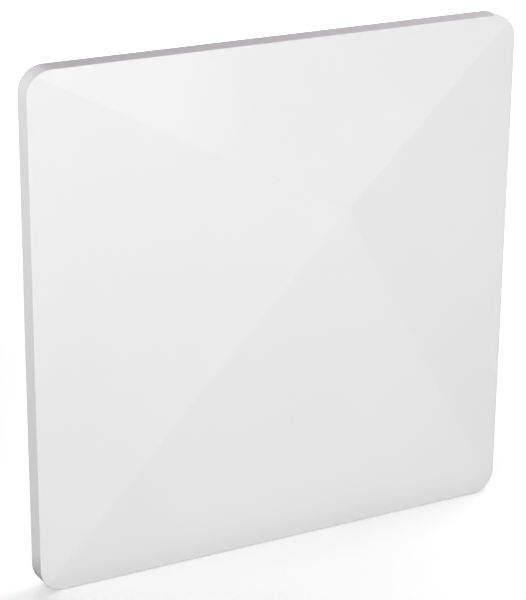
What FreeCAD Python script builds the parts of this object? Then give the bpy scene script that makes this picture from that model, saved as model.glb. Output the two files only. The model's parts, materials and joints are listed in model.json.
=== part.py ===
import FreeCAD, Part
import math
import os

Vector = FreeCAD.Vector

# Flat panel antenna for wireless microphones, made to be fixed to a wall.
# Frame: X to the right seen from the front, Y into the wall, Z up, all sizes in millimetres.
# Origin: centre of the four-hole mounting pattern, on the rear face of the panel.
# A depth is a distance in front of the rear face, so depth 10 is the plane y = -10.

# Housing outline
PANEL_SIDE = 340.0            # width and height of the cover at its rear rim
CORNER_RADIUS = 16.0          # rounding of the four upright corners
EDGE_DEPTH = 14.0             # height of the side walls
DRAFT_ANGLE = 1.5             # taper of the side walls, in degrees
APEX_X = 41.6                 # peak of the four facets, to the right of the centre
APEX_Z = 57.1                 # peak of the four facets, above the centre
APEX_RISE = 9.5               # peak above the front edge of the side walls
FRONT_EDGE_RADIUS = 0.4       # rounding between side walls and facets

# Cover shell
COVER_WALL = 2.2              # wall of the cover
RIM_WALL = 1.2                # thinner wall beside the recessed back plate
SCREW_INSET = 13.0            # cover screws, inwards from the side of the panel
BOSS_RADIUS = 3.5             # screw bosses in the cover
GUSSET_WALL = 1.4             # webs that tie the bosses to the side walls
GUSSET_STEP = 1.2             # webs start this far in front of the boss tops

# Back plate
BACK_THICKNESS = 2.4          # plate between its ribs
BACK_GAP = 0.25               # play between plate and rim all round
BACK_EDGE_CHAMFER = 0.4       # rear edge of the plate
SEAT_RADIUS = 4.4             # thickened screw seats
SEAT_HEIGHT = 1.2             # screw seats in front of the plate
COUNTERBORE_RADIUS = 3.2      # recess for a cover screw's head
COUNTERBORE_DEPTH = 2.1
PAD_HEIGHT = 1.4              # ribs and pads that carry the reflector
RIB_WALL = 1.6                # stiffening ribs
RIB_OFFSET = 70.0             # ribs from the centre lines
RIB_HALF_LENGTH = 140.0       # ribs from their middle to their ends
JACK_PAD_RADIUS = 11.0        # pad round the socket
SCREW_PAD_RADIUS = 4.0        # pads under reflector and board screws

# Wall mount: four threaded inserts on a square
MOUNT_PITCH = 100.0           # spacing of the holes both ways
INSERT_RADIUS = 3.0           # outside of a brass insert
INSERT_BORE_RADIUS = 1.65     # tapping bore of an M4 thread
INSERT_LENGTH = 6.0
INSERT_WALL = 2.2             # boss wall round an insert
INSERT_FLOOR = 1.4            # closed end of the boss

# Reflector tray
SHEET = 0.8                   # thickness of the aluminium sheet
REFLECTOR_CLEARANCE = 1.6     # tray to the screw seats
FLANGE_HEIGHT = 5.0           # folded edge, over the rear of the tray
BEND_RADIUS = 1.0             # inside of the fold
CORNER_RELIEF = 9.0           # flanges stop short of the corners
BOSS_CLEARANCE = 0.4          # holes round the insert bosses
REFLECTOR_SCREW_INSET = 13.0  # reflector screws from the edge of the tray

# Radiator plate
RADIATOR_WIDTH = 240.0
RADIATOR_HEIGHT = 232.0
RADIATOR_CORNER = 6.0
RADIATOR_CLEARANCE = 1.0      # plate to the inside of the cover
SLOT_OFFSET = 42.0            # slots from the middle of the plate
SLOT_WIDTH = 10.0
SLOT_LENGTH = 150.0           # slots from the top edge of the plate
STANDOFF_INSET_X = 40.0       # outer standoffs from the edges of the plate
STANDOFF_INSET_Z = 38.0
ARM_STANDOFF_INSET = 20.0     # standoff of the middle arm, from the top edge

# Standoffs and their screws
STANDOFF_FLATS = 5.5          # across the flats of the hexagon
THREAD_RADIUS = 1.25          # tapped bore of the standoffs, core of their screws
THREAD_PLAY = 0.35            # screw core to a clearance hole
SCREW_END_GAP = 0.8           # between the two screws in one standoff
FRONT_HEAD_RADIUS = 2.75
FRONT_HEAD_HEIGHT = 1.7
FRONT_HEAD_CLEARANCE = 0.5    # screw head to the inside of the cover
REAR_HEAD_RADIUS = 2.75
REAR_HEAD_HEIGHT = 1.1
REAR_HEAD_PLAY = 0.6          # room round the low head between the ribs

# Feed board
FEED_DROP = 60.0              # feed point below the centre
BOARD_WIDTH = 32.0
BOARD_MARGIN = 12.0           # board beyond the socket and the feed point
BOARD_THICKNESS = 1.6
BOARD_CORNER = 2.0
BOARD_SCREW_INSET = 4.0
SPACER_RADIUS = 3.0
TRACE_THICKNESS = 0.1
TRACE_WIDTH = 3.0
TRACE_PAD_RADIUS = 3.0
STUB_LENGTH = 9.0             # matching stub, from the middle of the line
STUB_RISE = 26.0              # matching stub above the socket
POST_FLATS = 5.0
POST_STUB_RADIUS = 1.2        # riveted end in the board
POST_STUB_PLAY = 0.1
POST_SCREW_RADIUS = 1.0
POST_SCREW_HEAD_RADIUS = 2.3
POST_SCREW_HEAD_HEIGHT = 1.5
POST_FLOOR = 0.8              # post left below the end of its tapped hole
POST_SCREW_END_GAP = 0.3

# Coaxial bayonet socket
JACK_DROP = 108.0             # socket below the centre
JACK_FLANGE_RADIUS = 8.5
JACK_FLANGE_THICKNESS = 1.6
JACK_NECK_RADIUS = 6.35       # threaded neck
JACK_NECK_FLAT = 5.9          # flats of the neck, from its axis
JACK_HOLE_PLAY = 0.15         # neck to its holes, nut and washer
JACK_NECK_END = 1.2           # neck beyond the nut
JACK_SHELL_RADIUS = 4.82
JACK_SHELL_LENGTH = 10.2
JACK_SHELL_BORE = 4.07
JACK_BORE_FLOOR = 0.6         # bore ends this far beyond the neck
JACK_CORE_RADIUS = 3.0        # insulator inside the neck
JACK_NOSE_RADIUS = 2.35       # insulator inside the shell
JACK_NOSE_RECESS = 1.4        # insulator behind the mouth
JACK_CONTACT_RADIUS = 1.05
JACK_CONTACT_RECESS = 0.3     # contact behind the end of the insulator
JACK_CONTACT_BORE = 0.69
JACK_CONTACT_BORE_DEPTH = 6.0
JACK_FINGER_GAP = 0.25        # slots between the four fingers of the contact
JACK_FINGER_LENGTH = 4.0
JACK_CONTACT_SHOULDER = 1.0   # contact narrows this far inside the flange
JACK_PIN_RADIUS = 0.65
JACK_PIN_PLAY = 0.1           # pin to its hole in the board
JACK_PIN_PROUD = 1.0          # pin beyond the copper
JACK_EDGE = 0.35              # chamfers of the shell and neck
LUG_RADIUS = 0.98
LUG_REACH = 5.5               # lugs from the axis
LUG_SETBACK = 4.8             # lugs behind the mouth
WASHER_RADIUS = 8.9
WASHER_THICKNESS = 0.7
WASHER_NOTCHES = 8
WASHER_NOTCH_WIDTH = 1.4
WASHER_NOTCH_RADIUS = 7.6
NUT_FLATS = 15.9
NUT_THICKNESS = 2.6
NUT_CHAMFER = 0.5

# Screws of the housing, reflector and board
COVER_SCREW_HEAD_RADIUS = 2.8
COVER_SCREW_HEAD_HEIGHT = 1.9
COVER_SCREW_RADIUS = 1.25
COVER_SCREW_LENGTH = 8.0      # under the head
COVER_SCREW_PLAY = 0.45       # screw to its hole in the back plate
SMALL_SCREW_HEAD_RADIUS = 2.3
SMALL_SCREW_HEAD_HEIGHT = 1.6
SMALL_SCREW_RADIUS = 1.0
SMALL_SCREW_PLAY = 0.35
SMALL_SCREW_FLOOR = 1.0       # back plate left under a blind screw hole
PILOT_EXTRA = 0.4             # blind hole beyond the end of its screw
RECESS_WIDTH = 0.85           # cross recess of a cover screw
RECESS_SPAN = 3.2
RECESS_DEPTH = 1.1

# Depths of the stack, from the rear face forwards
SEAT_DEPTH = BACK_THICKNESS + SEAT_HEIGHT
REFLECTOR_REAR = BACK_THICKNESS + PAD_HEIGHT
REFLECTOR_FRONT = REFLECTOR_REAR + SHEET
BOARD_REAR = REFLECTOR_FRONT + JACK_FLANGE_THICKNESS
BOARD_FRONT = BOARD_REAR + BOARD_THICKNESS
TRACE_FRONT = BOARD_FRONT + TRACE_THICKNESS
APEX_DEPTH = EDGE_DEPTH + APEX_RISE

# Places that follow from the sizes above
DRAFT_SLOPE = math.tan(math.radians(DRAFT_ANGLE))
FRONT_HALF = PANEL_SIDE / 2 - EDGE_DEPTH * DRAFT_SLOPE
SCREW_LINE = PANEL_SIDE / 2 - SCREW_INSET
REFLECTOR_HALF = SCREW_LINE - max(SEAT_RADIUS, BOSS_RADIUS) - REFLECTOR_CLEARANCE
REFLECTOR_SCREW_LINE = REFLECTOR_HALF - REFLECTOR_SCREW_INSET
INSERT_BOSS_RADIUS = INSERT_RADIUS + INSERT_WALL
BOARD_TOP = BOARD_MARGIN - FEED_DROP
BOARD_BOTTOM = -JACK_DROP - BOARD_MARGIN
STUB_Z = STUB_RISE - JACK_DROP
OVERRUN = 1.0                 # cutting bodies pass this far beyond what they cut


def facet_rise(x, z):
    """Height of the facets above the front edge of the side walls."""
    return APEX_RISE * min(
        (FRONT_HALF + x) / (FRONT_HALF + APEX_X),
        (FRONT_HALF - x) / (FRONT_HALF - APEX_X),
        (FRONT_HALF + z) / (FRONT_HALF + APEX_Z),
        (FRONT_HALF - z) / (FRONT_HALF - APEX_Z),
    )


def square_points(half_x, half_z):
    """The four corners of a rectangle about the centre."""
    return [(sx * half_x, sz * half_z) for sx in (-1, 1) for sz in (-1, 1)]


COVER_SCREW_POINTS = square_points(SCREW_LINE, SCREW_LINE) + [
    (SCREW_LINE, 0.0),
    (-SCREW_LINE, 0.0),
    (0.0, SCREW_LINE),
    (0.0, -SCREW_LINE),
]
MOUNT_POINTS = square_points(MOUNT_PITCH / 2, MOUNT_PITCH / 2)
REFLECTOR_SCREW_POINTS = square_points(REFLECTOR_SCREW_LINE, REFLECTOR_SCREW_LINE)
STANDOFF_POINTS = square_points(
    RADIATOR_WIDTH / 2 - STANDOFF_INSET_X,
    RADIATOR_HEIGHT / 2 - STANDOFF_INSET_Z,
) + [(0.0, RADIATOR_HEIGHT / 2 - ARM_STANDOFF_INSET)]
BOARD_SCREW_POINTS = [
    (side * (BOARD_WIDTH / 2 - BOARD_SCREW_INSET), z)
    for side in (-1, 1)
    for z in (BOARD_BOTTOM + BOARD_SCREW_INSET, BOARD_TOP - BOARD_SCREW_INSET)
]


def radiator_front_depth():
    """Front of the radiator: as far forward as the plate's edges and the screw heads allow."""
    corners = square_points(RADIATOR_WIDTH / 2, RADIATOR_HEIGHT / 2)
    edge_room = min(facet_rise(x, z) for x, z in corners) - RADIATOR_CLEARANCE
    head_room = min(facet_rise(x, z) for x, z in STANDOFF_POINTS)
    head_room -= FRONT_HEAD_HEIGHT + FRONT_HEAD_CLEARANCE
    return EDGE_DEPTH - COVER_WALL + min(edge_room, head_room)


RADIATOR_FRONT = radiator_front_depth()
RADIATOR_REAR = RADIATOR_FRONT - SHEET
STANDOFF_LENGTH = RADIATOR_REAR - REFLECTOR_FRONT
POST_LENGTH = RADIATOR_REAR - TRACE_FRONT


# Basic bodies, all with their axis along the depth

def disc(radius, x, z, depth_from, depth_to):
    """Round body between two depths."""
    return Part.makeCylinder(radius, depth_to - depth_from, Vector(x, -depth_from, z), Vector(0, -1, 0))


def block(x_from, x_to, z_from, z_to, depth_from, depth_to):
    """Rectangular body between two depths."""
    size = Vector(x_to - x_from, depth_to - depth_from, z_to - z_from)
    return Part.makeBox(size.x, size.y, size.z, Vector(x_from, -depth_to, z_from))


def upright_edges(shape):
    """Edges that run through the thickness of a plate."""
    found = []
    for edge in shape.Edges:
        start, end = edge.firstVertex().Point, edge.lastVertex().Point
        if abs(start.x - end.x) + abs(start.z - end.z) < abs(start.y - end.y):
            found.append(edge)
    return found


def rounded_plate(x_from, x_to, z_from, z_to, radius, depth_from, depth_to):
    """Plate with rounded corners."""
    plate = block(x_from, x_to, z_from, z_to, depth_from, depth_to)
    return plate.makeFillet(radius, upright_edges(plate))


def hexagon(flats, x, z, depth_from, depth_to):
    """Hexagonal body between two depths."""
    reach = flats / math.sqrt(3)
    corners = []
    for index in range(7):
        angle = math.radians(60 * index)
        corners.append(Vector(x + reach * math.cos(angle), -depth_from, z + reach * math.sin(angle)))
    return Part.Face(Part.makePolygon(corners)).extrude(Vector(0, depth_from - depth_to, 0))


def turned(profile, x, z):
    """Body turned about the depth axis from (radius, y) points."""
    points = [Vector(radius, y, 0) for radius, y in profile]
    points.append(points[0])
    body = Part.Face(Part.makePolygon(points)).revolve(Vector(0, 0, 0), Vector(0, 1, 0), 360)
    body.translate(Vector(x, 0, z))
    return body


def discs(radius, points, depth_from, depth_to):
    """One round body at each point."""
    return [disc(radius, x, z, depth_from, depth_to) for x, z in points]


def cross(span, width, x, z, depth_from, depth_to):
    """Two bars that cross at right angles between two depths."""
    bars = []
    for half_x, half_z in ((span / 2, width / 2), (width / 2, span / 2)):
        bars.append(block(x - half_x, x + half_x, z - half_z, z + half_z, depth_from, depth_to))
    return bars[0].fuse(bars[1]).removeSplitter()


def screw(head_radius, head_height, core_radius, length, x, z, seat, to_front):
    """Screw whose head lies on the seat, on the front or on the wall side of it."""
    side = 1 if to_front else -1
    head_end = seat + side * head_height
    core_end = seat - side * length
    head = disc(head_radius, x, z, min(seat, head_end), max(seat, head_end))
    return head.fuse(disc(core_radius, x, z, min(seat, core_end), max(seat, core_end)))


# Housing

def tapered_prism(side, radius, depth):
    """Square body with rounded corners that narrows towards the front."""
    outlines = []
    for level in (0.0, depth):
        half = side / 2 - level * DRAFT_SLOPE
        ring = [(-half, -half), (half, -half), (half, half), (-half, half), (-half, -half)]
        outlines.append(Part.makePolygon([Vector(x, -level, z) for x, z in ring]))
    body = Part.makeLoft(outlines, True, True)
    return body.makeFillet(radius, upright_edges(body))


def facet_pyramid(setback):
    """Body under the four facets, moved towards the wall by setback."""
    apex = Vector(APEX_X, setback - APEX_DEPTH, APEX_Z)
    spread = (APEX_DEPTH + OVERRUN) / APEX_RISE
    base = []
    for sx, sz in ((-1, -1), (1, -1), (1, 1), (-1, 1)):
        edge_corner = Vector(sx * FRONT_HALF, setback - EDGE_DEPTH, sz * FRONT_HALF)
        base.append(apex + (edge_corner - apex) * spread)
    faces = [Part.Face(Part.makePolygon(base + base[:1]))]
    for first, second in zip(base, base[1:] + base[:1]):
        faces.append(Part.Face(Part.makePolygon([first, second, apex, first])))
    return Part.makeSolid(Part.makeShell(faces))


def front_perimeter(shape):
    """Edges between the side walls and the facets."""
    found = []
    for edge in shape.Edges:
        depths = [-vertex.Y for vertex in edge.Vertexes]
        if min(depths) > EDGE_DEPTH / 2 and max(depths) < EDGE_DEPTH + APEX_RISE / 2:
            found.append(edge)
    return found


def boss_gussets():
    """Webs from each screw boss to the side walls next to it."""
    webs = []
    top = SEAT_DEPTH + GUSSET_STEP
    wall = PANEL_SIDE / 2 - RIM_WALL
    half = GUSSET_WALL / 2
    for x, z in COVER_SCREW_POINTS:
        if x:
            end = math.copysign(wall, x)
            webs.append(block(min(x, end), max(x, end), z - half, z + half, top, APEX_DEPTH))
        if z:
            end = math.copysign(wall, z)
            webs.append(block(x - half, x + half, min(z, end), max(z, end), top, APEX_DEPTH))
    return webs


def front_cover():
    """Faceted shell with a ledge for the back plate and bosses for its screws."""
    reach = APEX_DEPTH + OVERRUN
    outside = tapered_prism(PANEL_SIDE, CORNER_RADIUS, reach).common(facet_pyramid(0.0))
    outside = outside.makeFillet(FRONT_EDGE_RADIUS, front_perimeter(outside))
    inner_side = PANEL_SIDE - 2 * COVER_WALL
    inside = tapered_prism(inner_side, CORNER_RADIUS - COVER_WALL, reach)
    ledge_half = PANEL_SIDE / 2 - RIM_WALL
    ledge_radius = CORNER_RADIUS - RIM_WALL
    pocket = rounded_plate(-ledge_half, ledge_half, -ledge_half, ledge_half, ledge_radius,
                           -OVERRUN, BACK_THICKNESS)
    shell = outside.cut(inside.common(facet_pyramid(COVER_WALL))).cut(pocket)
    posts = discs(BOSS_RADIUS, COVER_SCREW_POINTS, SEAT_DEPTH, APEX_DEPTH) + boss_gussets()
    posts = posts[0].multiFuse(posts[1:]).common(facet_pyramid(COVER_WALL / 2))
    pilot_end = COUNTERBORE_DEPTH + COVER_SCREW_LENGTH + PILOT_EXTRA
    pilots = discs(COVER_SCREW_RADIUS, COVER_SCREW_POINTS, SEAT_DEPTH, pilot_end)
    return shell.fuse(posts).cut(Part.makeCompound(pilots)).removeSplitter()


def jack_hole(depth_from, depth_to):
    """Round hole with two flats that keep the socket from turning."""
    radius = JACK_NECK_RADIUS + JACK_HOLE_PLAY
    flat = JACK_NECK_FLAT + JACK_HOLE_PLAY
    between = block(-flat, flat, -JACK_DROP - radius, radius - JACK_DROP, depth_from, depth_to)
    return disc(radius, 0.0, -JACK_DROP, depth_from, depth_to).common(between)


def back_plate():
    """Rear closure with ribs, pads, screw seats and insert bosses on its inner face."""
    half = PANEL_SIDE / 2 - RIM_WALL - BACK_GAP
    radius = CORNER_RADIUS - RIM_WALL - BACK_GAP
    plate = rounded_plate(-half, half, -half, half, radius, 0.0, BACK_THICKNESS)
    rear_edges = [edge for edge in plate.Edges if edge.BoundBox.YMin > -BACK_THICKNESS / 2]
    plate = plate.makeChamfer(BACK_EDGE_CHAMFER, rear_edges)

    middle = BACK_THICKNESS / 2
    raised = discs(SEAT_RADIUS, COVER_SCREW_POINTS, middle, SEAT_DEPTH)
    raised += discs(SCREW_PAD_RADIUS, REFLECTOR_SCREW_POINTS, middle, REFLECTOR_REAR)
    raised += discs(SCREW_PAD_RADIUS, BOARD_SCREW_POINTS, middle, REFLECTOR_REAR)
    raised += discs(INSERT_BOSS_RADIUS, MOUNT_POINTS, middle, INSERT_LENGTH + INSERT_FLOOR)
    raised.append(disc(JACK_PAD_RADIUS, 0.0, -JACK_DROP, middle, REFLECTOR_REAR))
    for offset in (-RIB_OFFSET, RIB_OFFSET):
        near, far = offset - RIB_WALL / 2, offset + RIB_WALL / 2
        raised.append(block(near, far, -RIB_HALF_LENGTH, RIB_HALF_LENGTH, middle, REFLECTOR_REAR))
        raised.append(block(-RIB_HALF_LENGTH, RIB_HALF_LENGTH, near, far, middle, REFLECTOR_REAR))
    plate = plate.multiFuse(raised)

    small_end = SMALL_SCREW_FLOOR
    head_room = REAR_HEAD_RADIUS + REAR_HEAD_PLAY
    cuts = discs(COUNTERBORE_RADIUS, COVER_SCREW_POINTS, -OVERRUN, COUNTERBORE_DEPTH)
    cuts += discs(COVER_SCREW_RADIUS + COVER_SCREW_PLAY, COVER_SCREW_POINTS, 0.0, SEAT_DEPTH + OVERRUN)
    cuts += discs(INSERT_RADIUS, MOUNT_POINTS, -OVERRUN, INSERT_LENGTH)
    cuts += discs(SMALL_SCREW_RADIUS, REFLECTOR_SCREW_POINTS, small_end, REFLECTOR_REAR + OVERRUN)
    cuts += discs(SMALL_SCREW_RADIUS, BOARD_SCREW_POINTS, small_end, REFLECTOR_REAR + OVERRUN)
    cuts += discs(head_room, STANDOFF_POINTS, BACK_THICKNESS, REFLECTOR_REAR + OVERRUN)
    cuts.append(jack_hole(-OVERRUN, REFLECTOR_REAR + OVERRUN))
    return plate.cut(Part.makeCompound(cuts)).removeSplitter()


# Reflector and radiator

def reflector_flange():
    """Folded edge of the tray on the right, with its bend."""
    bend = REFLECTOR_HALF - SHEET - BEND_RADIUS
    upright = REFLECTOR_HALF - SHEET
    bend_end = REFLECTOR_FRONT + BEND_RADIUS
    tip = REFLECTOR_REAR + FLANGE_HEIGHT
    half_turn = math.sqrt(0.5)
    outer_mid = (BEND_RADIUS + SHEET) * half_turn
    inner_mid = BEND_RADIUS * half_turn
    points = {
        "rear": Vector(bend, -REFLECTOR_REAR, 0),
        "outer_mid": Vector(bend + outer_mid, -bend_end + outer_mid, 0),
        "outer": Vector(REFLECTOR_HALF, -bend_end, 0),
        "outer_tip": Vector(REFLECTOR_HALF, -tip, 0),
        "inner_tip": Vector(upright, -tip, 0),
        "inner": Vector(upright, -bend_end, 0),
        "inner_mid": Vector(bend + inner_mid, -bend_end + inner_mid, 0),
        "front": Vector(bend, -REFLECTOR_FRONT, 0),
    }
    outline = Part.Wire([
        Part.Arc(points["rear"], points["outer_mid"], points["outer"]).toShape(),
        Part.LineSegment(points["outer"], points["outer_tip"]).toShape(),
        Part.LineSegment(points["outer_tip"], points["inner_tip"]).toShape(),
        Part.LineSegment(points["inner_tip"], points["inner"]).toShape(),
        Part.Arc(points["inner"], points["inner_mid"], points["front"]).toShape(),
        Part.LineSegment(points["front"], points["rear"]).toShape(),
    ])
    half_length = bend - CORNER_RELIEF
    flange = Part.Face(outline).extrude(Vector(0, 0, 2 * half_length))
    flange.translate(Vector(0, 0, -half_length))
    return flange


def reflector():
    """Tray folded from sheet, with holes for what passes through it."""
    flat = REFLECTOR_HALF - SHEET - BEND_RADIUS
    tray = block(-flat, flat, -flat, flat, REFLECTOR_REAR, REFLECTOR_FRONT)
    flanges = []
    for turn in range(4):
        flange = reflector_flange()
        flange.rotate(Vector(0, 0, 0), Vector(0, 1, 0), 90 * turn)
        flanges.append(flange)
    tray = tray.multiFuse(flanges)
    start, end = REFLECTOR_REAR - OVERRUN, REFLECTOR_FRONT + OVERRUN
    small_hole = SMALL_SCREW_RADIUS + SMALL_SCREW_PLAY
    cuts = discs(INSERT_BOSS_RADIUS + BOSS_CLEARANCE, MOUNT_POINTS, start, end)
    cuts += discs(small_hole, REFLECTOR_SCREW_POINTS, start, end)
    cuts += discs(small_hole, BOARD_SCREW_POINTS, start, end)
    cuts += discs(THREAD_RADIUS + THREAD_PLAY, STANDOFF_POINTS, start, end)
    cuts.append(jack_hole(start, end))
    return tray.cut(Part.makeCompound(cuts)).removeSplitter()


def radiator():
    """Plate with two slots from its top edge, which leave three arms."""
    half_x, half_z = RADIATOR_WIDTH / 2, RADIATOR_HEIGHT / 2
    plate = rounded_plate(-half_x, half_x, -half_z, half_z, RADIATOR_CORNER,
                          RADIATOR_REAR, RADIATOR_FRONT)
    start, end = RADIATOR_REAR - OVERRUN, RADIATOR_FRONT + OVERRUN
    cuts = discs(THREAD_RADIUS + THREAD_PLAY, STANDOFF_POINTS, start, end)
    cuts.append(disc(POST_SCREW_RADIUS + THREAD_PLAY, 0.0, -FEED_DROP, start, end))
    half_slot = SLOT_WIDTH / 2
    slot_end = half_z - SLOT_LENGTH + half_slot
    for x in (-SLOT_OFFSET, SLOT_OFFSET):
        slot = block(x - half_slot, x + half_slot, slot_end, half_z + OVERRUN, start, end)
        cuts.append(slot.fuse(disc(half_slot, x, slot_end, start, end)))
    for cut in cuts:
        plate = plate.cut(cut)
    return plate


def radiator_standoff(x, z):
    """Hexagonal spacer, tapped from end to end."""
    body = hexagon(STANDOFF_FLATS, x, z, REFLECTOR_FRONT, RADIATOR_REAR)
    return body.cut(disc(THREAD_RADIUS, x, z, REFLECTOR_FRONT, RADIATOR_REAR))


def standoff_screws(to_front):
    """Five screws, from the radiator side or from the reflector side."""
    length = SHEET + (STANDOFF_LENGTH - SCREW_END_GAP) / 2
    if to_front:
        head_radius, head_height, seat = FRONT_HEAD_RADIUS, FRONT_HEAD_HEIGHT, RADIATOR_FRONT
    else:
        head_radius, head_height, seat = REAR_HEAD_RADIUS, REAR_HEAD_HEIGHT, REFLECTOR_REAR
    return Part.makeCompound([
        screw(head_radius, head_height, THREAD_RADIUS, length, x, z, seat, to_front)
        for x, z in STANDOFF_POINTS
    ])


# Feed

def feed_board():
    """Circuit board from the socket to the feed point."""
    half = BOARD_WIDTH / 2
    board = rounded_plate(-half, half, BOARD_BOTTOM, BOARD_TOP, BOARD_CORNER, BOARD_REAR, BOARD_FRONT)
    start, end = BOARD_REAR - OVERRUN, BOARD_FRONT + OVERRUN
    cuts = discs(SMALL_SCREW_RADIUS + SMALL_SCREW_PLAY, BOARD_SCREW_POINTS, start, end)
    cuts.append(disc(JACK_PIN_RADIUS + JACK_PIN_PLAY, 0.0, -JACK_DROP, start, end))
    cuts.append(disc(POST_STUB_RADIUS + POST_STUB_PLAY, 0.0, -FEED_DROP, start, end))
    return board.cut(Part.makeCompound(cuts))


def feed_trace():
    """Copper line from the socket's pin to the post, with a matching stub."""
    half = TRACE_WIDTH / 2
    line = block(-half, half, -JACK_DROP, -FEED_DROP, BOARD_FRONT, TRACE_FRONT)
    copper = line.multiFuse([
        disc(TRACE_PAD_RADIUS, 0.0, -JACK_DROP, BOARD_FRONT, TRACE_FRONT),
        disc(TRACE_PAD_RADIUS, 0.0, -FEED_DROP, BOARD_FRONT, TRACE_FRONT),
        block(0.0, STUB_LENGTH, STUB_Z - half, STUB_Z + half, BOARD_FRONT, TRACE_FRONT),
    ])
    start, end = BOARD_FRONT - OVERRUN, TRACE_FRONT + OVERRUN
    pin_hole = disc(JACK_PIN_RADIUS + JACK_PIN_PLAY, 0.0, -JACK_DROP, start, end)
    post_hole = disc(POST_STUB_RADIUS + POST_STUB_PLAY, 0.0, -FEED_DROP, start, end)
    return copper.cut(pin_hole).cut(post_hole).removeSplitter()


def board_spacer(x, z):
    """Round spacer between reflector and board."""
    body = disc(SPACER_RADIUS, x, z, REFLECTOR_FRONT, BOARD_REAR)
    return body.cut(disc(SMALL_SCREW_RADIUS + SMALL_SCREW_PLAY, x, z, REFLECTOR_FRONT, BOARD_REAR))


def small_screws(points, seat):
    """Screws that run from a seat into blind holes of the back plate."""
    length = seat - SMALL_SCREW_FLOOR - PILOT_EXTRA
    return Part.makeCompound([
        screw(SMALL_SCREW_HEAD_RADIUS, SMALL_SCREW_HEAD_HEIGHT, SMALL_SCREW_RADIUS, length,
              x, z, seat, True)
        for x, z in points
    ])


def feed_post():
    """Hexagonal post that lifts the feed line to the radiator."""
    post = hexagon(POST_FLATS, 0.0, -FEED_DROP, TRACE_FRONT, RADIATOR_REAR)
    post = post.fuse(disc(POST_STUB_RADIUS, 0.0, -FEED_DROP, BOARD_REAR, TRACE_FRONT))
    tapped = disc(POST_SCREW_RADIUS, 0.0, -FEED_DROP, TRACE_FRONT + POST_FLOOR, RADIATOR_REAR)
    return post.cut(tapped).removeSplitter()


def feed_post_screw():
    """Screw that fixes the radiator to the post."""
    length = SHEET + POST_LENGTH - POST_FLOOR - POST_SCREW_END_GAP
    return screw(POST_SCREW_HEAD_RADIUS, POST_SCREW_HEAD_HEIGHT, POST_SCREW_RADIUS, length,
                 0.0, -FEED_DROP, RADIATOR_FRONT, True)


# Coaxial socket: y runs outwards, away from the rear face

JACK_INNER_END = -BOARD_REAR
JACK_NECK_TOP = WASHER_THICKNESS + NUT_THICKNESS + JACK_NECK_END
JACK_MOUTH = JACK_NECK_TOP + JACK_SHELL_LENGTH
JACK_BORE_END = JACK_NECK_TOP + JACK_BORE_FLOOR
JACK_NOSE_END = JACK_MOUTH - JACK_NOSE_RECESS


def jack_body():
    """Shell with two bayonet lugs, a threaded neck with flats and an inner flange."""
    body = turned([
        (JACK_CORE_RADIUS, JACK_INNER_END),
        (JACK_FLANGE_RADIUS, JACK_INNER_END),
        (JACK_FLANGE_RADIUS, -REFLECTOR_FRONT),
        (JACK_NECK_RADIUS, -REFLECTOR_FRONT),
        (JACK_NECK_RADIUS, JACK_NECK_TOP - JACK_EDGE),
        (JACK_NECK_RADIUS - JACK_EDGE, JACK_NECK_TOP),
        (JACK_SHELL_RADIUS, JACK_NECK_TOP),
        (JACK_SHELL_RADIUS, JACK_MOUTH - JACK_EDGE),
        (JACK_SHELL_RADIUS - JACK_EDGE, JACK_MOUTH),
        (JACK_SHELL_BORE, JACK_MOUTH),
        (JACK_SHELL_BORE, JACK_BORE_END),
        (JACK_CORE_RADIUS, JACK_BORE_END),
    ], 0.0, -JACK_DROP)
    for side in (-1, 1):
        inner = side * JACK_NECK_FLAT
        outer = side * (JACK_NECK_RADIUS + OVERRUN)
        body = body.cut(block(min(inner, outer), max(inner, outer),
                              -JACK_DROP - JACK_NECK_RADIUS, JACK_NECK_RADIUS - JACK_DROP,
                              -JACK_NECK_TOP, REFLECTOR_FRONT))
        wall_middle = (JACK_SHELL_RADIUS + JACK_SHELL_BORE) / 2
        root = Vector(side * wall_middle, JACK_MOUTH - LUG_SETBACK, -JACK_DROP)
        body = body.fuse(Part.makeCylinder(LUG_RADIUS, LUG_REACH - wall_middle, root, Vector(side, 0, 0)))
    return body


def jack_insulator():
    """Insulator with a slimmer nose inside the shell."""
    return turned([
        (JACK_CONTACT_RADIUS, JACK_INNER_END),
        (JACK_CORE_RADIUS, JACK_INNER_END),
        (JACK_CORE_RADIUS, JACK_BORE_END),
        (JACK_NOSE_RADIUS, JACK_BORE_END),
        (JACK_NOSE_RADIUS, JACK_NOSE_END),
        (JACK_CONTACT_RADIUS, JACK_NOSE_END),
    ], 0.0, -JACK_DROP)


def jack_contact():
    """Centre contact with four spring fingers at the mouth and a pin through the board."""
    front = JACK_NOSE_END - JACK_CONTACT_RECESS
    shoulder = JACK_INNER_END + JACK_CONTACT_SHOULDER
    pin_end = -TRACE_FRONT - JACK_PIN_PROUD
    body = turned([
        (0.0, pin_end),
        (JACK_PIN_RADIUS, pin_end),
        (JACK_PIN_RADIUS, shoulder),
        (JACK_CONTACT_RADIUS, shoulder),
        (JACK_CONTACT_RADIUS, front),
        (JACK_CONTACT_BORE, front),
        (JACK_CONTACT_BORE, front - JACK_CONTACT_BORE_DEPTH),
        (0.0, front - JACK_CONTACT_BORE_DEPTH),
    ], 0.0, -JACK_DROP)
    span = 2 * (JACK_CONTACT_RADIUS + OVERRUN)
    return body.cut(cross(span, JACK_FINGER_GAP, 0.0, -JACK_DROP,
                          -front - OVERRUN, JACK_FINGER_LENGTH - front))


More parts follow.
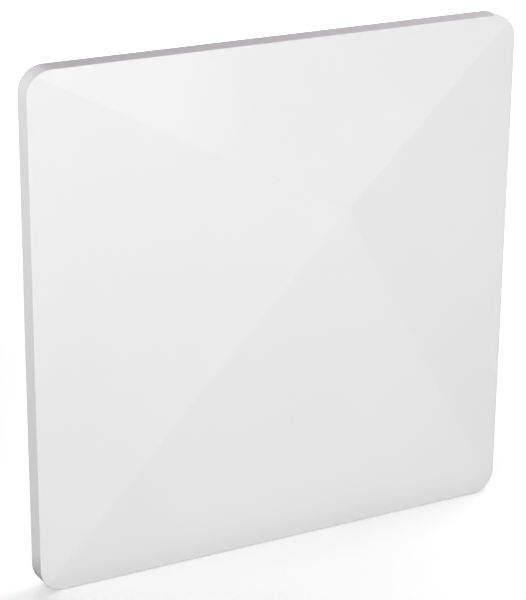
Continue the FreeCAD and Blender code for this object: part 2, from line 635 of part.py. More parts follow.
def jack_lock_washer():
    """Lock washer with teeth on its inner edge."""
    inner = JACK_NECK_RADIUS + JACK_HOLE_PLAY
    ring = disc(WASHER_RADIUS, 0.0, -JACK_DROP, -WASHER_THICKNESS, 0.0)
    ring = ring.cut(disc(inner, 0.0, -JACK_DROP, -WASHER_THICKNESS, 0.0))
    half = WASHER_NOTCH_WIDTH / 2
    for index in range(WASHER_NOTCHES):
        notch = block(0.0, WASHER_NOTCH_RADIUS, -half, half, -WASHER_THICKNESS, 0.0)
        notch.rotate(Vector(0, 0, 0), Vector(0, 1, 0), 360.0 * index / WASHER_NOTCHES)
        notch.translate(Vector(0, 0, -JACK_DROP))
        ring = ring.cut(notch)
    return ring


def jack_nut():
    """Hexagonal nut with chamfered corners."""
    near, far = -WASHER_THICKNESS - NUT_THICKNESS, -WASHER_THICKNESS
    nut = hexagon(NUT_FLATS, 0.0, -JACK_DROP, near, far)
    blank = disc(NUT_FLATS / math.sqrt(3), 0.0, -JACK_DROP, near, far)
    rims = [edge for edge in blank.Edges if edge.Closed]
    nut = nut.common(blank.makeChamfer(NUT_CHAMFER, rims))
    return nut.cut(disc(JACK_NECK_RADIUS + JACK_HOLE_PLAY, 0.0, -JACK_DROP, near, far))


# Fasteners of the housing

def mount_inserts():
    """Threaded inserts of the wall mount, flush with the rear face."""
    inserts = []
    for x, z in MOUNT_POINTS:
        body = disc(INSERT_RADIUS, x, z, 0.0, INSERT_LENGTH)
        inserts.append(body.cut(disc(INSERT_BORE_RADIUS, x, z, 0.0, INSERT_LENGTH)))
    return Part.makeCompound(inserts)


def cover_screws():
    """Cross-recess screws from the back plate into the cover's bosses."""
    screws = []
    recess_start = COUNTERBORE_DEPTH - COVER_SCREW_HEAD_HEIGHT
    recess_end = recess_start + RECESS_DEPTH
    for x, z in COVER_SCREW_POINTS:
        body = screw(COVER_SCREW_HEAD_RADIUS, COVER_SCREW_HEAD_HEIGHT, COVER_SCREW_RADIUS,
                     COVER_SCREW_LENGTH, x, z, COUNTERBORE_DEPTH, False)
        screws.append(body.cut(cross(RECESS_SPAN, RECESS_WIDTH, x, z, recess_start, recess_end)))
    return Part.makeCompound(screws)


def all_nodes():
    """Every piece by its name."""
    nodes = {
        "front_cover": front_cover(),
        "back_plate": back_plate(),
        "reflector": reflector(),
        "radiator": radiator(),
        "standoff_front_screws": standoff_screws(True),
        "standoff_rear_screws": standoff_screws(False),
        "feed_board": feed_board(),
        "feed_trace": feed_trace(),
        "feed_board_screws": small_screws(BOARD_SCREW_POINTS, BOARD_FRONT),
        "feed_post": feed_post(),
        "feed_post_screw": feed_post_screw(),
        "jack_body": jack_body(),
        "jack_insulator": jack_insulator(),
        "jack_contact": jack_contact(),
        "jack_lock_washer": jack_lock_washer(),
        "jack_nut": jack_nut(),
        "mount_inserts": mount_inserts(),
        "cover_screws": cover_screws(),
        "reflector_screws": small_screws(REFLECTOR_SCREW_POINTS, REFLECTOR_FRONT),
    }
    for index, (x, z) in enumerate(STANDOFF_POINTS, 1):
        nodes["radiator_standoff_%d" % index] = radiator_standoff(x, z)
    for index, (x, z) in enumerate(BOARD_SCREW_POINTS, 1):
        nodes["board_spacer_%d" % index] = board_spacer(x, z)
    return nodes


os.makedirs("parts", exist_ok=True)
for name, shape in all_nodes().items():
    shape.exportStep("parts/%s.step" % name)
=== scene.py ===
import json
import math

import bmesh
import bpy
from mathutils import Matrix, Vector


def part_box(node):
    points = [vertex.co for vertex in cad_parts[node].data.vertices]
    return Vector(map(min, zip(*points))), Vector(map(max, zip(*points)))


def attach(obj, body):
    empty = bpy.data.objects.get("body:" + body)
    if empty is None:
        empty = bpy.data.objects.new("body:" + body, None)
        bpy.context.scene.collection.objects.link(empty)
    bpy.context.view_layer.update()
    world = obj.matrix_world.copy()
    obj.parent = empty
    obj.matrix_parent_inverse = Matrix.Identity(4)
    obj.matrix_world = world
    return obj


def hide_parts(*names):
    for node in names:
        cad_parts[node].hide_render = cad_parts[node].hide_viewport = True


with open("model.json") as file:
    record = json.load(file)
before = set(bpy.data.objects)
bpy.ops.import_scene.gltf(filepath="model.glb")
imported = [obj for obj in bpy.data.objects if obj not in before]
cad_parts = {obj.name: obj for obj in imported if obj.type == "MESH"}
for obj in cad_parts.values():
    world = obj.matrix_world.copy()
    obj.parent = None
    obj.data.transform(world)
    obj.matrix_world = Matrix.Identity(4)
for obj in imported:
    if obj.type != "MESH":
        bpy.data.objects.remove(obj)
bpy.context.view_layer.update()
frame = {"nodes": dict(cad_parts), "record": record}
nodes = frame["nodes"]

MM = 0.001                       # metres in a millimetre

# Camera: place in metres, turns in degrees, focal length for a 36 mm sensor
CAMERA_PLACE = (-0.62602, -1.16349, 0.49844)
CAMERA_YAW = 28.0600             # to the right of straight into the wall
CAMERA_PITCH = 20.8330           # below the horizon
CAMERA_ROLL = 0.5643             # clockwise
CAMERA_LENS = 131.700
SENSOR = 36.0

# Studio
FLOOR_HALF = 6.0                 # floor from its middle to its edges
FLOOR_SEEN = 0.8                 # floor as the camera sees it
FLOOR_NEAR_BOUNCE = 0.02         # light that the floor throws back, near the panel; nearly black there, a painted shade on the panel's lower part
FLOOR_FAR_BOUNCE = 0.40          # and far from it
FLOOR_NEAR_GLOW = 0.36           # what makes the floor white to the camera, near the panel
FLOOR_FAR_GLOW = 1.0             # and far from it
FLOOR_RADII = (0.35, 0.80)       # where near ends and far begins
FLOOR_GLOSS = 0.90               # floor in gloss; at 1 the left facet clips from the side
CONTACT_GLOW = 0.2               # floor in gloss, in a painted contact shadow along the panel's foot
CONTACT_RADII = (0.022, 0.042)   # where that shadow starts to fade and where it ends
CONTACT_STRETCH = (0.06, 1.0, 1.0)   # draws it out along the panel
AMBIENT = 0.014                  # world light on the object
GAP_FROM = 13.0                  # gloss shows a gap between backdrop and ceiling, degrees above the horizon
GAP_TO = 22.5
GAP_EDGE = 0.8                   # softness of its edges
GAP_LIGHT = 0.05                 # against white
CEILING_LIGHT = 0.72
PLAIN_SIDE = -0.25               # directions whose x is lower than this see plain white
GAP_SIDE = -0.05                 # and those whose x is higher than this see the gap and the ceiling
LIGHTS = [
    # name, place, width and height, power in watts, colour
    ("key", (-2.195, -1.688, 0.631), (1.0, 1.0), 50.6, (1.0, 1.0, 1.0)),
    ("corner_fill", (-0.550, -0.230, 0.500), (0.3, 0.3), 0.98, (1.0, 0.94, 0.98)),
    ("front_fill", (0.333, -1.098, 0.037), (0.3, 0.3), 6.38, (1.0, 1.0, 1.0)),
    ("foot_fill", (0.0, -0.090, -0.160), (0.36, 0.04), 0.0142, (1.0, 1.0, 1.0)),
    ("right_rim", (0.706, 0.204, 0.349), (0.5, 0.5), 2.1, (1.0, 0.94, 0.99)),
    ("rear_key", (0.8, 1.5, 0.25), (0.9, 0.9), 19.0, (1.0, 1.0, 1.0)),
    ("top_fill", (0.42, 0.20, 0.62), (0.4, 0.4), 1.8, (1.0, 0.94, 0.99)),
    ("overhead", (0.10, 0.9, 1.2), (0.8, 0.8), 2.2, (1.0, 0.96, 0.99)),
]

# Materials
NOISE_LOW = 0.3                  # part of a noise's range that is spread over a colour or gloss
NOISE_HIGH = 0.7
PLASTIC_IOR = 1.5
FLOW_SIZE = 90 * MM              # flow marks in moulded plastic
WEAR_SIZE = 12 * MM              # patches of gloss in moulded plastic
STAIN_SIZE = 4 * MM              # patches of tone in plated metal
LATHE_STRETCH = (0.08, 1.0, 0.08)    # draws noise out into rings about Y
ROLL_STRETCH = (1.0, 1.0, 0.02)      # draws noise out into streaks along Z
STREAK_SIZE = 0.8 * MM           # streaks of rolled sheet
STREAK_RELIEF = 0.004 * MM
WEAVE_SCALE = 320.0              # glass cloth in the board
WEAVE_DISTORTION = 0.6
WEAVE_RELIEF = 0.01 * MM

# Mesh detail
THREAD_RINGS = 10                # rings for each turn of a thread
THREAD_FLANK = 1.25              # over 1 flattens the crests
ROUND_RINGS = 5                  # rings of a rounded edge
JACK_SEGMENTS = 120
LUG_SEGMENTS = 28
RECESS_STEPS = 5                 # steps along a flank of a cross recess
SHARP_ANGLE = 32.0               # edges sharper than this stay sharp, in degrees
WELD = 0.0001 * MM               # vertices closer than this are one

# Cover screws
SCREW_HEAD = 1.9 * MM            # height of the head
SCREW_RIM = 0.75 * MM            # upright rim of the head
SCREW_EDGE = 0.12 * MM           # broken edge under the rim
SCREW_CROWN = 1.78 * MM          # flat top of the crowned head
SCREW_ROOT = 0.95 * MM
SCREW_CREST = 1.25 * MM
SCREW_PITCH = 1.12 * MM
SCREW_POINT = 0.9 * MM           # plain end
RECESS_WIDTH = 0.85 * MM
RECESS_SPAN = 3.2 * MM
RECESS_DEPTH = 1.25 * MM
RECESS_CONE = 0.25 * MM          # cone at the bottom of the recess
RECESS_TAPER = 0.52              # bottom of the recess against its top
RECESS_SLACK = 1.001             # keeps the corners of an arm's end on the arm

# Threaded inserts
INSERT_MINOR = 1.65 * MM
INSERT_MAJOR = 2.0 * MM
INSERT_PITCH = 0.7 * MM
INSERT_COLLAR = 0.6 * MM         # plain collar at the mouth
INSERT_GROOVE = 0.9 * MM         # groove between the knurled bands
INSERT_CHAMFER = 0.2 * MM
KNURL_DEPTH = 0.22 * MM
KNURL_TEETH = 36

# Coaxial socket
JACK_FLANGE = 1.6 * MM           # thickness of the inner flange
JACK_NECK = 6.35 * MM
JACK_ROOT = 5.82 * MM            # bottom of the neck's thread
JACK_PITCH = 0.907 * MM
JACK_FLAT = 5.9 * MM             # flats of the neck, from its axis
JACK_NECK_END = 1.2 * MM         # neck beyond the nut
JACK_SHELL = 4.82 * MM
JACK_BORE = 4.07 * MM
JACK_BORE_FLOOR = 0.6 * MM
JACK_CORE = 3.0 * MM
JACK_EDGE = 0.35 * MM            # rounded or bevelled outer edges
JACK_MOUTH = JACK_EDGE / 3       # bevel of the bore
JACK_LUG = 0.98 * MM
JACK_LUG_ROOT = 4.4 * MM         # lugs start inside the wall of the shell
JACK_LUG_REACH = 5.5 * MM
JACK_LUG_ROUND = 0.25 * MM
JACK_LUG_SETBACK = 4.8 * MM


# Node helpers

def new_material(name):
    """Empty node material with its shader and output joined."""
    material = bpy.data.materials.new(name)
    material.use_nodes = True
    tree = material.node_tree
    tree.nodes.clear()
    shader = tree.nodes.new("ShaderNodeBsdfPrincipled")
    output = tree.nodes.new("ShaderNodeOutputMaterial")
    tree.links.new(shader.outputs["BSDF"], output.inputs["Surface"])
    return material, tree, shader


def object_coordinates(tree, stretch=(1.0, 1.0, 1.0)):
    """Object coordinates in metres, stretched along the axes."""
    coordinates = tree.nodes.new("ShaderNodeTexCoord")
    mapping = tree.nodes.new("ShaderNodeMapping")
    mapping.inputs["Scale"].default_value = stretch
    tree.links.new(coordinates.outputs["Object"], mapping.inputs["Vector"])
    return mapping.outputs["Vector"]


def noise(tree, vector, size, detail=2.0, roughness=0.5):
    """Noise whose features are about size metres wide."""
    node = tree.nodes.new("ShaderNodeTexNoise")
    node.inputs["Scale"].default_value = 1.0 / size
    node.inputs["Detail"].default_value = detail
    node.inputs["Roughness"].default_value = roughness
    tree.links.new(vector, node.inputs["Vector"])
    return node.outputs["Fac"]


def blend_colours(tree, factor, low, high):
    """Colour that runs from low to high over the middle of a factor."""
    ramp = tree.nodes.new("ShaderNodeValToRGB")
    ramp.color_ramp.elements[0].position = NOISE_LOW
    ramp.color_ramp.elements[0].color = (*low, 1.0)
    ramp.color_ramp.elements[1].position = NOISE_HIGH
    ramp.color_ramp.elements[1].color = (*high, 1.0)
    tree.links.new(factor, ramp.inputs["Fac"])
    return ramp.outputs["Color"]


def remap(tree, factor, low, high):
    """Number that runs from low to high over the middle of a factor."""
    node = tree.nodes.new("ShaderNodeMapRange")
    node.inputs["From Min"].default_value = NOISE_LOW
    node.inputs["From Max"].default_value = NOISE_HIGH
    node.inputs["To Min"].default_value = low
    node.inputs["To Max"].default_value = high
    tree.links.new(factor, node.inputs["Value"])
    return node.outputs["Result"]


def mixed(tree, factor, first, second):
    """First value where the factor is 0, second where it is 1; each a socket or a number."""
    mix = tree.nodes.new("ShaderNodeMix")
    tree.links.new(factor, mix.inputs["Factor"])
    for name, value in (("A", first), ("B", second)):
        if isinstance(value, float):
            mix.inputs[name].default_value = value
        else:
            tree.links.new(value, mix.inputs[name])
    return mix.outputs["Result"]


def bump(tree, shader, height, depth):
    """Surface relief of a given depth in metres."""
    node = tree.nodes.new("ShaderNodeBump")
    node.inputs["Distance"].default_value = depth
    tree.links.new(height, node.inputs["Height"])
    tree.links.new(node.outputs["Normal"], shader.inputs["Normal"])


# Materials

def moulded_plastic(name, low, high, gloss, grain, relief):
    """Moulded plastic with a fine grain and faint flow marks."""
    material, tree, shader = new_material(name)
    vector = object_coordinates(tree)
    flow = noise(tree, vector, FLOW_SIZE, detail=3.0)
    tree.links.new(blend_colours(tree, flow, low, high), shader.inputs["Base Color"])
    wear = noise(tree, vector, WEAR_SIZE, detail=4.0)
    tree.links.new(remap(tree, wear, *gloss), shader.inputs["Roughness"])
    bump(tree, shader, noise(tree, vector, grain, detail=3.0, roughness=0.6), relief)
    shader.inputs["IOR"].default_value = PLASTIC_IOR
    return material


def turned_metal(name, low, high, gloss, groove, relief):
    """Turned and plated metal, with rings from the lathe along its axis."""
    material, tree, shader = new_material(name)
    rings = noise(tree, object_coordinates(tree, LATHE_STRETCH), groove)
    stain = noise(tree, object_coordinates(tree), STAIN_SIZE, detail=3.0)
    tree.links.new(blend_colours(tree, stain, low, high), shader.inputs["Base Color"])
    tree.links.new(remap(tree, stain, *gloss), shader.inputs["Roughness"])
    bump(tree, shader, rings, relief)
    shader.inputs["Metallic"].default_value = 1.0
    return material


def rolled_sheet(name, low, high, gloss):
    """Aluminium sheet with streaks from the rolling mill."""
    material, tree, shader = new_material(name)
    streaks = noise(tree, object_coordinates(tree, ROLL_STRETCH), STREAK_SIZE, detail=4.0)
    tree.links.new(blend_colours(tree, streaks, low, high), shader.inputs["Base Color"])
    tree.links.new(remap(tree, streaks, *gloss), shader.inputs["Roughness"])
    bump(tree, shader, streaks, STREAK_RELIEF)
    shader.inputs["Metallic"].default_value = 1.0
    return material


def laminate(name, low, high, gloss):
    """Glass-epoxy board under solder mask, with its weave showing faintly."""
    material, tree, shader = new_material(name)
    vector = object_coordinates(tree)
    weave = []
    for axis in ("X", "Z"):
        wave = tree.nodes.new("ShaderNodeTexWave")
        wave.bands_direction = axis
        wave.inputs["Scale"].default_value = WEAVE_SCALE
        wave.inputs["Distortion"].default_value = WEAVE_DISTORTION
        tree.links.new(vector, wave.inputs["Vector"])
        weave.append(wave.outputs["Fac"])
    product = tree.nodes.new("ShaderNodeMath")
    product.operation = "MULTIPLY"
    tree.links.new(weave[0], product.inputs[0])
    tree.links.new(weave[1], product.inputs[1])
    cloth = product.outputs["Value"]
    tree.links.new(blend_colours(tree, cloth, low, high), shader.inputs["Base Color"])
    tree.links.new(remap(tree, cloth, *gloss), shader.inputs["Roughness"])
    bump(tree, shader, cloth, WEAVE_RELIEF)
    return material


def make_materials():
    """Every material, by the record's slot."""
    # colour from low to high, roughness from low to high, size of grain or grooves, relief
    return {
        "cover_white": moulded_plastic(
            "cover_white", (0.840, 0.840, 0.842), (0.856, 0.856, 0.858), (0.10, 0.15), 0.7 * MM, 0.002 * MM),
        "back_white": moulded_plastic(
            "back_white", (0.795, 0.795, 0.800), (0.815, 0.815, 0.820), (0.52, 0.62), 0.9 * MM, 0.03 * MM),
        "nylon": moulded_plastic(
            "nylon", (0.80, 0.78, 0.71), (0.85, 0.83, 0.77), (0.38, 0.48), 1.5 * MM, 0.01 * MM),
        "fluoropolymer": moulded_plastic(
            "fluoropolymer", (0.85, 0.85, 0.84), (0.90, 0.90, 0.89), (0.32, 0.42), 0.5 * MM, 0.006 * MM),
        "nickel": turned_metal(
            "nickel", (0.62, 0.59, 0.54), (0.71, 0.68, 0.63), (0.20, 0.32), 0.12 * MM, 0.004 * MM),
        "brass": turned_metal(
            "brass", (0.72, 0.52, 0.22), (0.82, 0.63, 0.31), (0.24, 0.38), 0.15 * MM, 0.006 * MM),
        "gold_contact": turned_metal(
            "gold_contact", (0.83, 0.61, 0.24), (0.90, 0.70, 0.33), (0.16, 0.26), 0.1 * MM, 0.003 * MM),
        "copper": turned_metal(
            "copper", (0.68, 0.36, 0.22), (0.78, 0.47, 0.31), (0.26, 0.4), 0.3 * MM, 0.003 * MM),
        "zinc_steel": turned_metal(
            "zinc_steel", (0.55, 0.56, 0.59), (0.68, 0.69, 0.70), (0.28, 0.44), 0.2 * MM, 0.006 * MM),
        "sheet_aluminium": rolled_sheet(
            "sheet_aluminium", (0.70, 0.71, 0.72), (0.80, 0.81, 0.82), (0.28, 0.42)),
        "board_laminate": laminate(
            "board_laminate", (0.015, 0.11, 0.05), (0.03, 0.17, 0.08), (0.30, 0.42)),
    }


def dress(materials):
    """Gives every CAD node the material of its slot."""
    for part in frame["record"]["subparts"]:
        mesh = nodes[part["node"]].data
        mesh.materials.clear()
        mesh.materials.append(materials[part["material_slot"]])


# Mesh helpers: every turned piece is a skin of rings about an axis along Y

def even_angles(count):
    """Angles of a full turn, evenly spaced."""
    return [math.tau * index / count for index in range(count)]


def skin_rings(mesh, centre, angles, levels, closed=False):
    """Skin through rings of (radius, y), with the axis at a centre (x, z).

    A radius is a number or a function of the angle, and a radius of 0 is one point.
    """
    rings = []
    for radius, y in levels:
        if radius == 0:
            rings.append([mesh.verts.new((centre[0], y, centre[1]))])
            continue
        ring = []
        for angle in angles:
            reach = radius(angle) if callable(radius) else radius
            place = (centre[0] + reach * math.cos(angle), y, centre[1] + reach * math.sin(angle))
            ring.append(mesh.verts.new(place))
        rings.append(ring)
    pairs = list(zip(rings, rings[1:]))
    if closed:
        pairs.append((rings[-1], rings[0]))
    for first, second in pairs:
        for index in range(len(angles)):
            following = (index + 1) % len(angles)
            corners = [
                first[index % len(first)],
                first[following % len(first)],
                second[following % len(second)],
                second[index % len(second)],
            ]
            mesh.faces.new(list(dict.fromkeys(corners)))


def thread_levels(root, crest, pitch, y_from, y_to, limit=None):
    """Rings of a screw thread; a limit caps the radius by angle and y."""
    count = max(2, round(abs(y_to - y_from) / pitch * THREAD_RINGS))
    levels = []
    for index in range(count + 1):
        y = y_from + (y_to - y_from) * index / count

        def radius(angle, y=y):
            turn = (y / pitch - angle / math.tau) % 1.0
            flank = min(1.0, THREAD_FLANK * (1.0 - abs(2.0 * turn - 1.0)))
            reach = root + (crest - root) * flank
            return min(reach, limit(angle, y)) if limit else reach

        levels.append((radius, y))
    return levels


def quarter_round(radius_from, radius_to, y_from, y_to):
    """Rings of a rounded edge that leaves y_from level and reaches radius_to upright."""
    levels = []
    for index in range(ROUND_RINGS + 1):
        angle = math.pi / 2 * index / ROUND_RINGS
        radius = radius_from + (radius_to - radius_from) * math.sin(angle)
        levels.append((radius, y_to + (y_from - y_to) * math.cos(angle)))
    return levels


def solid_boxes(node):
    """Lowest and highest corner of each separate solid in a CAD node."""
    mesh = bmesh.new()
    mesh.from_mesh(nodes[node].data)
    bmesh.ops.remove_doubles(mesh, verts=mesh.verts, dist=WELD)
    waiting = set(mesh.verts)
    boxes = []
    while waiting:
        front = [waiting.pop()]
        island = list(front)
        while front:
            vertex = front.pop()
            for edge in vertex.link_edges:
                other = edge.other_vert(vertex)
                if other in waiting:
                    waiting.discard(other)
                    front.append(other)
                    island.append(other)
        boxes.append([Vector(fold(v.co[axis] for v in island) for axis in range(3)) for fold in (min, max)])
    mesh.free()
    return sorted(boxes, key=lambda box: tuple(box[0]))


def add_piece(mesh, name, node, slot):
    """Puts a finished mesh in the scene in the place of a CAD node."""
    bmesh.ops.recalc_face_normals(mesh, faces=mesh.faces)
    data = bpy.data.meshes.new(name)
    mesh.to_mesh(data)
    mesh.free()
    data.materials.append(materials[slot])
    data.shade_smooth()
    data.set_sharp_from_angle(angle=math.radians(SHARP_ANGLE))
    piece = bpy.data.objects.new(name, data)
    bpy.context.scene.collection.objects.link(piece)
    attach(piece, "root")
    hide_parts(node)
    return piece


# Detailed fasteners and socket

def cross_angles():
    """Angles that meet the corners of a cross recess, with even steps between them."""
    tip = math.atan2(RECESS_WIDTH, RECESS_SPAN)
    side = math.pi / 4
    quarter = [-tip, 0.0, tip]
    for index in range(1, RECESS_STEPS + 1):
        quarter.append(tip + (side - tip) * index / RECESS_STEPS)
    for index in range(1, RECESS_STEPS):
        quarter.append(side + (side - tip) * index / RECESS_STEPS)
    return [angle + turn * math.pi / 2 for turn in range(4) for angle in quarter]


def cross_outline(scale):
    """Radius of a cross by angle."""
    def radius(angle):
        near, far = sorted((abs(math.cos(angle)), abs(math.sin(angle))), reverse=True)
        arm = RECESS_SPAN / 2 / near
        return scale * (arm if far * arm <= RECESS_WIDTH / 2 * RECESS_SLACK else RECESS_WIDTH / 2 / far)
    return radius


def make_cover_screws():
    """Pan-head screws with a tapered cross recess and a coarse thread."""
    mesh = bmesh.new()
    for low, high in solid_boxes("cover_screws"):
        centre = ((low.x + high.x) / 2, (low.z + high.z) / 2)
        head = (high.x - low.x) / 2
        top, tip = high.y, low.y
        seat = top - SCREW_HEAD
        levels = [
            (0, top - RECESS_DEPTH),
            (cross_outline(RECESS_TAPER), top - RECESS_DEPTH + RECESS_CONE),
            (cross_outline(1.0), top),
        ]
        levels += quarter_round(SCREW_CROWN, head, top, seat + SCREW_RIM)
        levels += [(head, seat + SCREW_EDGE), (head - SCREW_EDGE, seat)]
        levels += thread_levels(SCREW_ROOT, SCREW_CREST, SCREW_PITCH, seat, tip + SCREW_POINT)
        levels += [(SCREW_ROOT / 2, tip), (0, tip)]
        skin_rings(mesh, centre, cross_angles(), levels)
    add_piece(mesh, "cover_screws_detailed", "cover_screws", "zinc_steel")


def knurl(radius):
    """Radius of a knurled band by angle."""
    return lambda angle: radius - KNURL_DEPTH * (0.5 - 0.5 * math.cos(KNURL_TEETH * angle))


def make_mount_inserts():
    """Brass inserts with two knurled bands, a groove between them and an internal thread."""
    mesh = bmesh.new()
    for low, high in solid_boxes("mount_inserts"):
        centre = ((low.x + high.x) / 2, (low.z + high.z) / 2)
        outside = (high.x - low.x) / 2
        mouth, end = high.y, low.y
        middle = (mouth + end) / 2
        levels = [(INSERT_MAJOR + INSERT_CHAMFER, mouth), (outside, mouth), (outside, mouth - INSERT_COLLAR)]
        for start, stop in (
            (mouth - INSERT_COLLAR, middle + INSERT_GROOVE / 2),
            (middle - INSERT_GROOVE / 2, end + INSERT_CHAMFER),
        ):
            root = outside - KNURL_DEPTH
            after = stop - (INSERT_GROOVE if stop > middle else INSERT_CHAMFER)
            levels += [(knurl(outside), start), (knurl(outside), stop), (root, stop), (root, after)]
        levels += thread_levels(INSERT_MINOR, INSERT_MAJOR, INSERT_PITCH, end, mouth - INSERT_CHAMFER)
        skin_rings(mesh, centre, even_angles(2 * KNURL_TEETH), levels, closed=True)
    add_piece(mesh, "mount_inserts_detailed", "mount_inserts", "brass")


def join_solids(piece, others):
    """Fuses other objects into a piece and removes them."""
    for other in others:
        modifier = piece.modifiers.new(other.name, "BOOLEAN")
        modifier.operation = "UNION"
        modifier.solver = "EXACT"
        modifier.object = other
    fused = bpy.data.meshes.new_from_object(piece.evaluated_get(bpy.context.evaluated_depsgraph_get()))
    piece.modifiers.clear()
    piece.data = fused
    for other in others:
        bpy.data.objects.remove(other)
    fused.set_sharp_from_angle(angle=math.radians(SHARP_ANGLE))


def bayonet_lug(centre, y, side):
    """Short round stud with a rounded end, on one side of the socket."""
    mesh = bmesh.new()
    flat, shoulder = JACK_LUG - JACK_LUG_ROUND, JACK_LUG_REACH - JACK_LUG_ROUND
    levels = [(0, JACK_LUG_ROOT), (JACK_LUG, JACK_LUG_ROOT)]
    levels += reversed(quarter_round(flat, JACK_LUG, JACK_LUG_REACH, shoulder))
    levels.append((0, JACK_LUG_REACH))
    skin_rings(mesh, (0.0, 0.0), even_angles(LUG_SEGMENTS), levels)
    bmesh.ops.recalc_face_normals(mesh, faces=mesh.faces)
    data = bpy.data.meshes.new("bayonet_lug")
    mesh.to_mesh(data)
    mesh.free()
    outwards = Matrix.Rotation(-side * math.pi / 2, 4, "Z")
    data.transform(Matrix.Translation((centre[0], y, centre[1])) @ outwards)
    lug = bpy.data.objects.new("bayonet_lug", data)
    bpy.context.scene.collection.objects.link(lug)
    return lug


def make_jack_body():
    """Socket shell with bayonet lugs, a threaded neck with two flats and an inner flange."""
    low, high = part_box("jack_body")
    centre = ((low.x + high.x) / 2, (low.z + high.z) / 2)
    flange = (high.x - low.x) / 2
    inner, mouth = low.y, high.y
    neck_base = inner + JACK_FLANGE
    neck_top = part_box("jack_nut")[1].y + JACK_NECK_END
    bore_floor = neck_top + JACK_BORE_FLOOR

    def neck_limit(angle, y):
        flat = JACK_FLAT / max(abs(math.cos(angle)), JACK_FLAT / JACK_NECK)
        return min(flat, JACK_NECK - JACK_EDGE + neck_top - y)

    levels = [(JACK_CORE, inner), (flange, inner), (flange, neck_base)]
    levels += thread_levels(JACK_ROOT, JACK_NECK, JACK_PITCH, neck_base, neck_top, neck_limit)
    levels.append((JACK_SHELL, neck_top))
    levels += reversed(quarter_round(JACK_SHELL - JACK_EDGE, JACK_SHELL, mouth, mouth - JACK_EDGE))
    levels += [(JACK_BORE + JACK_MOUTH, mouth), (JACK_BORE, mouth - JACK_MOUTH)]
    levels += [(JACK_BORE, bore_floor), (JACK_CORE, bore_floor)]
    mesh = bmesh.new()
    skin_rings(mesh, centre, even_angles(JACK_SEGMENTS), levels, closed=True)
    piece = add_piece(mesh, "jack_body_detailed", "jack_body", "nickel")
    join_solids(piece, [bayonet_lug(centre, mouth - JACK_LUG_SETBACK, side) for side in (-1, 1)])


# Studio

def make_camera():
    """Camera where the photograph was taken from."""
    yaw, pitch, roll = (math.radians(v) for v in (CAMERA_YAW, CAMERA_PITCH, CAMERA_ROLL))
    forward = Vector((math.sin(yaw) * math.cos(pitch), math.cos(yaw) * math.cos(pitch), -math.sin(pitch)))
    right = forward.cross(Vector((0.0, 0.0, 1.0))).normalized()
    up = right.cross(forward)
    right, up = (right * math.cos(roll) + up * math.sin(roll), up * math.cos(roll) - right * math.sin(roll))
    data = bpy.data.cameras.new("camera")
    data.lens = CAMERA_LENS
    data.sensor_width = SENSOR
    camera = bpy.data.objects.new("camera", data)
    camera.matrix_world = Matrix.LocRotScale(
        Vector(CAMERA_PLACE), Matrix((right, up, -forward)).transposed().to_quaternion(), None)
    bpy.context.scene.collection.objects.link(camera)
    bpy.context.scene.camera = camera


def make_lights():
    """Soft boxes aimed at the middle of the panel."""
    for name, place, size, power, colour in LIGHTS:
        data = bpy.data.lights.new(name, "AREA")
        data.shape = "RECTANGLE"
        data.size, data.size_y = size
        data.energy = power
        data.color = colour
        light = bpy.data.objects.new(name, data)
        light.location = place
        light.rotation_euler = (-Vector(place)).to_track_quat("-Z", "Y").to_euler()
        light.visible_camera = False
        light.visible_glossy = False
        bpy.context.scene.collection.objects.link(light)


def ray_share(tree, names):
    """1 for rays of the named kinds, 0 for others."""
    path = tree.nodes.new("ShaderNodeLightPath")
    total = path.outputs[names[0]]
    for name in names[1:]:
        add = tree.nodes.new("ShaderNodeMath")
        add.operation = "ADD"
        add.use_clamp = True
        tree.links.new(total, add.inputs[0])
        tree.links.new(path.outputs[name], add.inputs[1])
        total = add.outputs["Value"]
    return total


def studio_light(tree):
    """Light of the studio by direction: a dim gap on the right, between white backdrop and ceiling."""
    coordinates = tree.nodes.new("ShaderNodeTexCoord")
    axes = tree.nodes.new("ShaderNodeSeparateXYZ")
    tree.links.new(coordinates.outputs["Generated"], axes.inputs["Vector"])
    ramp = tree.nodes.new("ShaderNodeValToRGB")
    stops = ramp.color_ramp.elements
    levels = [
        (GAP_FROM - GAP_EDGE, 1.0),
        (GAP_FROM, GAP_LIGHT),
        (GAP_TO, GAP_LIGHT),
        (GAP_TO + GAP_EDGE, CEILING_LIGHT),
    ]
    while len(stops) < len(levels):
        stops.new(1.0)
    for stop, (height, light) in zip(stops, levels):
        stop.position = math.sin(math.radians(height))
        stop.color = (light, light, light, 1.0)
    tree.links.new(axes.outputs["Z"], ramp.inputs["Fac"])
    side = tree.nodes.new("ShaderNodeMapRange")
    side.inputs["From Min"].default_value = PLAIN_SIDE
    side.inputs["From Max"].default_value = GAP_SIDE
    tree.links.new(axes.outputs["X"], side.inputs["Value"])
    return mixed(tree, side.outputs["Result"], 1.0, ramp.outputs["Color"])


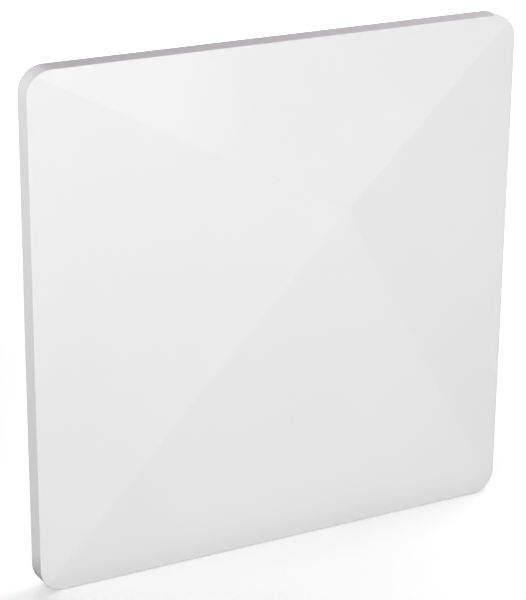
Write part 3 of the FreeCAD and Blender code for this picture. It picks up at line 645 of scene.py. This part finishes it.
def make_world():
    """White to the camera, a studio in gloss, a plain dim light on the object."""
    world = bpy.data.worlds.new("studio")
    world.use_nodes = True
    tree = world.node_tree
    tree.nodes.clear()
    output = tree.nodes.new("ShaderNodeOutputWorld")
    dim, studio, white = (tree.nodes.new("ShaderNodeBackground") for _ in range(3))
    for background, strength in ((dim, AMBIENT), (white, 1.0)):
        background.inputs["Strength"].default_value = strength
    for background in (dim, studio, white):
        background.inputs["Color"].default_value = (1.0, 1.0, 1.0, 1.0)
    tree.links.new(studio_light(tree), studio.inputs["Strength"])
    shown = dim
    for background, names in (
        (studio, ("Is Glossy Ray",)),
        (white, ("Is Camera Ray", "Is Transmission Ray")),
    ):
        mix = tree.nodes.new("ShaderNodeMixShader")
        tree.links.new(ray_share(tree, names), mix.inputs["Fac"])
        tree.links.new(shown.outputs[0], mix.inputs[1])
        tree.links.new(background.outputs[0], mix.inputs[2])
        shown = mix
    tree.links.new(shown.outputs[0], output.inputs["Surface"])
    bpy.context.scene.world = world


def by_distance(tree, near, far, radii=FLOOR_RADII, stretch=(1.0, 1.0, 1.0)):
    """Number that runs from near to far with the distance from the panel."""
    length = tree.nodes.new("ShaderNodeVectorMath")
    length.operation = "LENGTH"
    tree.links.new(object_coordinates(tree, stretch), length.inputs[0])
    spread = tree.nodes.new("ShaderNodeMapRange")
    spread.interpolation_type = "SMOOTHSTEP"
    spread.inputs["From Min"].default_value = radii[0]
    spread.inputs["From Max"].default_value = radii[1]
    spread.inputs["To Min"].default_value = near
    spread.inputs["To Max"].default_value = far
    tree.links.new(length.outputs["Value"], spread.inputs["Value"])
    return spread.outputs["Result"]


def floor_material():
    """Floor that keeps the panel's shadow and throws little light back, least near the panel, which paints
    shade on the panel's lower part.

    In gloss it is white, with a painted contact shadow along the panel's foot.
    """
    material = bpy.data.materials.new("floor_white")
    material.use_nodes = True
    tree = material.node_tree
    tree.nodes.clear()
    by_camera = ray_share(tree, ("Is Camera Ray",))
    mirrored = ray_share(tree, ("Is Glossy Ray", "Is Transmission Ray"))
    output = tree.nodes.new("ShaderNodeOutputMaterial")
    add = tree.nodes.new("ShaderNodeAddShader")
    diffuse = tree.nodes.new("ShaderNodeBsdfDiffuse")
    glow = tree.nodes.new("ShaderNodeEmission")
    # bounced light is darkest near the panel: a painted shade on the panel's lower part
    bounce_with_painted_shade = mixed(tree, mirrored, by_distance(tree, FLOOR_NEAR_BOUNCE, FLOOR_FAR_BOUNCE), 0.0)
    tree.links.new(mixed(tree, by_camera, bounce_with_painted_shade, FLOOR_SEEN), diffuse.inputs["Color"])
    seen_glow = by_distance(tree, FLOOR_NEAR_GLOW, FLOOR_FAR_GLOW)
    # painted contact shadow: the floor in gloss is darker in a strip along the panel's foot
    painted_contact_shadow = by_distance(tree, CONTACT_GLOW, FLOOR_GLOSS, CONTACT_RADII, CONTACT_STRETCH)
    mirrored_glow = mixed(tree, mirrored, 0.0, painted_contact_shadow)
    tree.links.new(mixed(tree, by_camera, mirrored_glow, seen_glow), glow.inputs["Strength"])
    tree.links.new(diffuse.outputs["BSDF"], add.inputs[0])
    tree.links.new(glow.outputs["Emission"], add.inputs[1])
    tree.links.new(add.outputs["Shader"], output.inputs["Surface"])
    return material


def make_floor():
    """Level floor under the lower edge of the panel."""
    mesh = bpy.data.meshes.new("floor")
    turns = ((-1, -1), (1, -1), (1, 1), (-1, 1))
    mesh.from_pydata([(x * FLOOR_HALF, y * FLOOR_HALF, 0.0) for x, y in turns], [], [(0, 1, 2, 3)])
    mesh.materials.append(floor_material())
    floor = bpy.data.objects.new("floor", mesh)
    floor.location = (0.0, 0.0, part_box("front_cover")[0].z)
    bpy.context.scene.collection.objects.link(floor)


materials = make_materials()
dress(materials)
make_cover_screws()
make_mount_inserts()
make_jack_body()
make_camera()
make_lights()
make_world()
make_floor()
bpy.context.scene.view_settings.view_transform = "Standard"
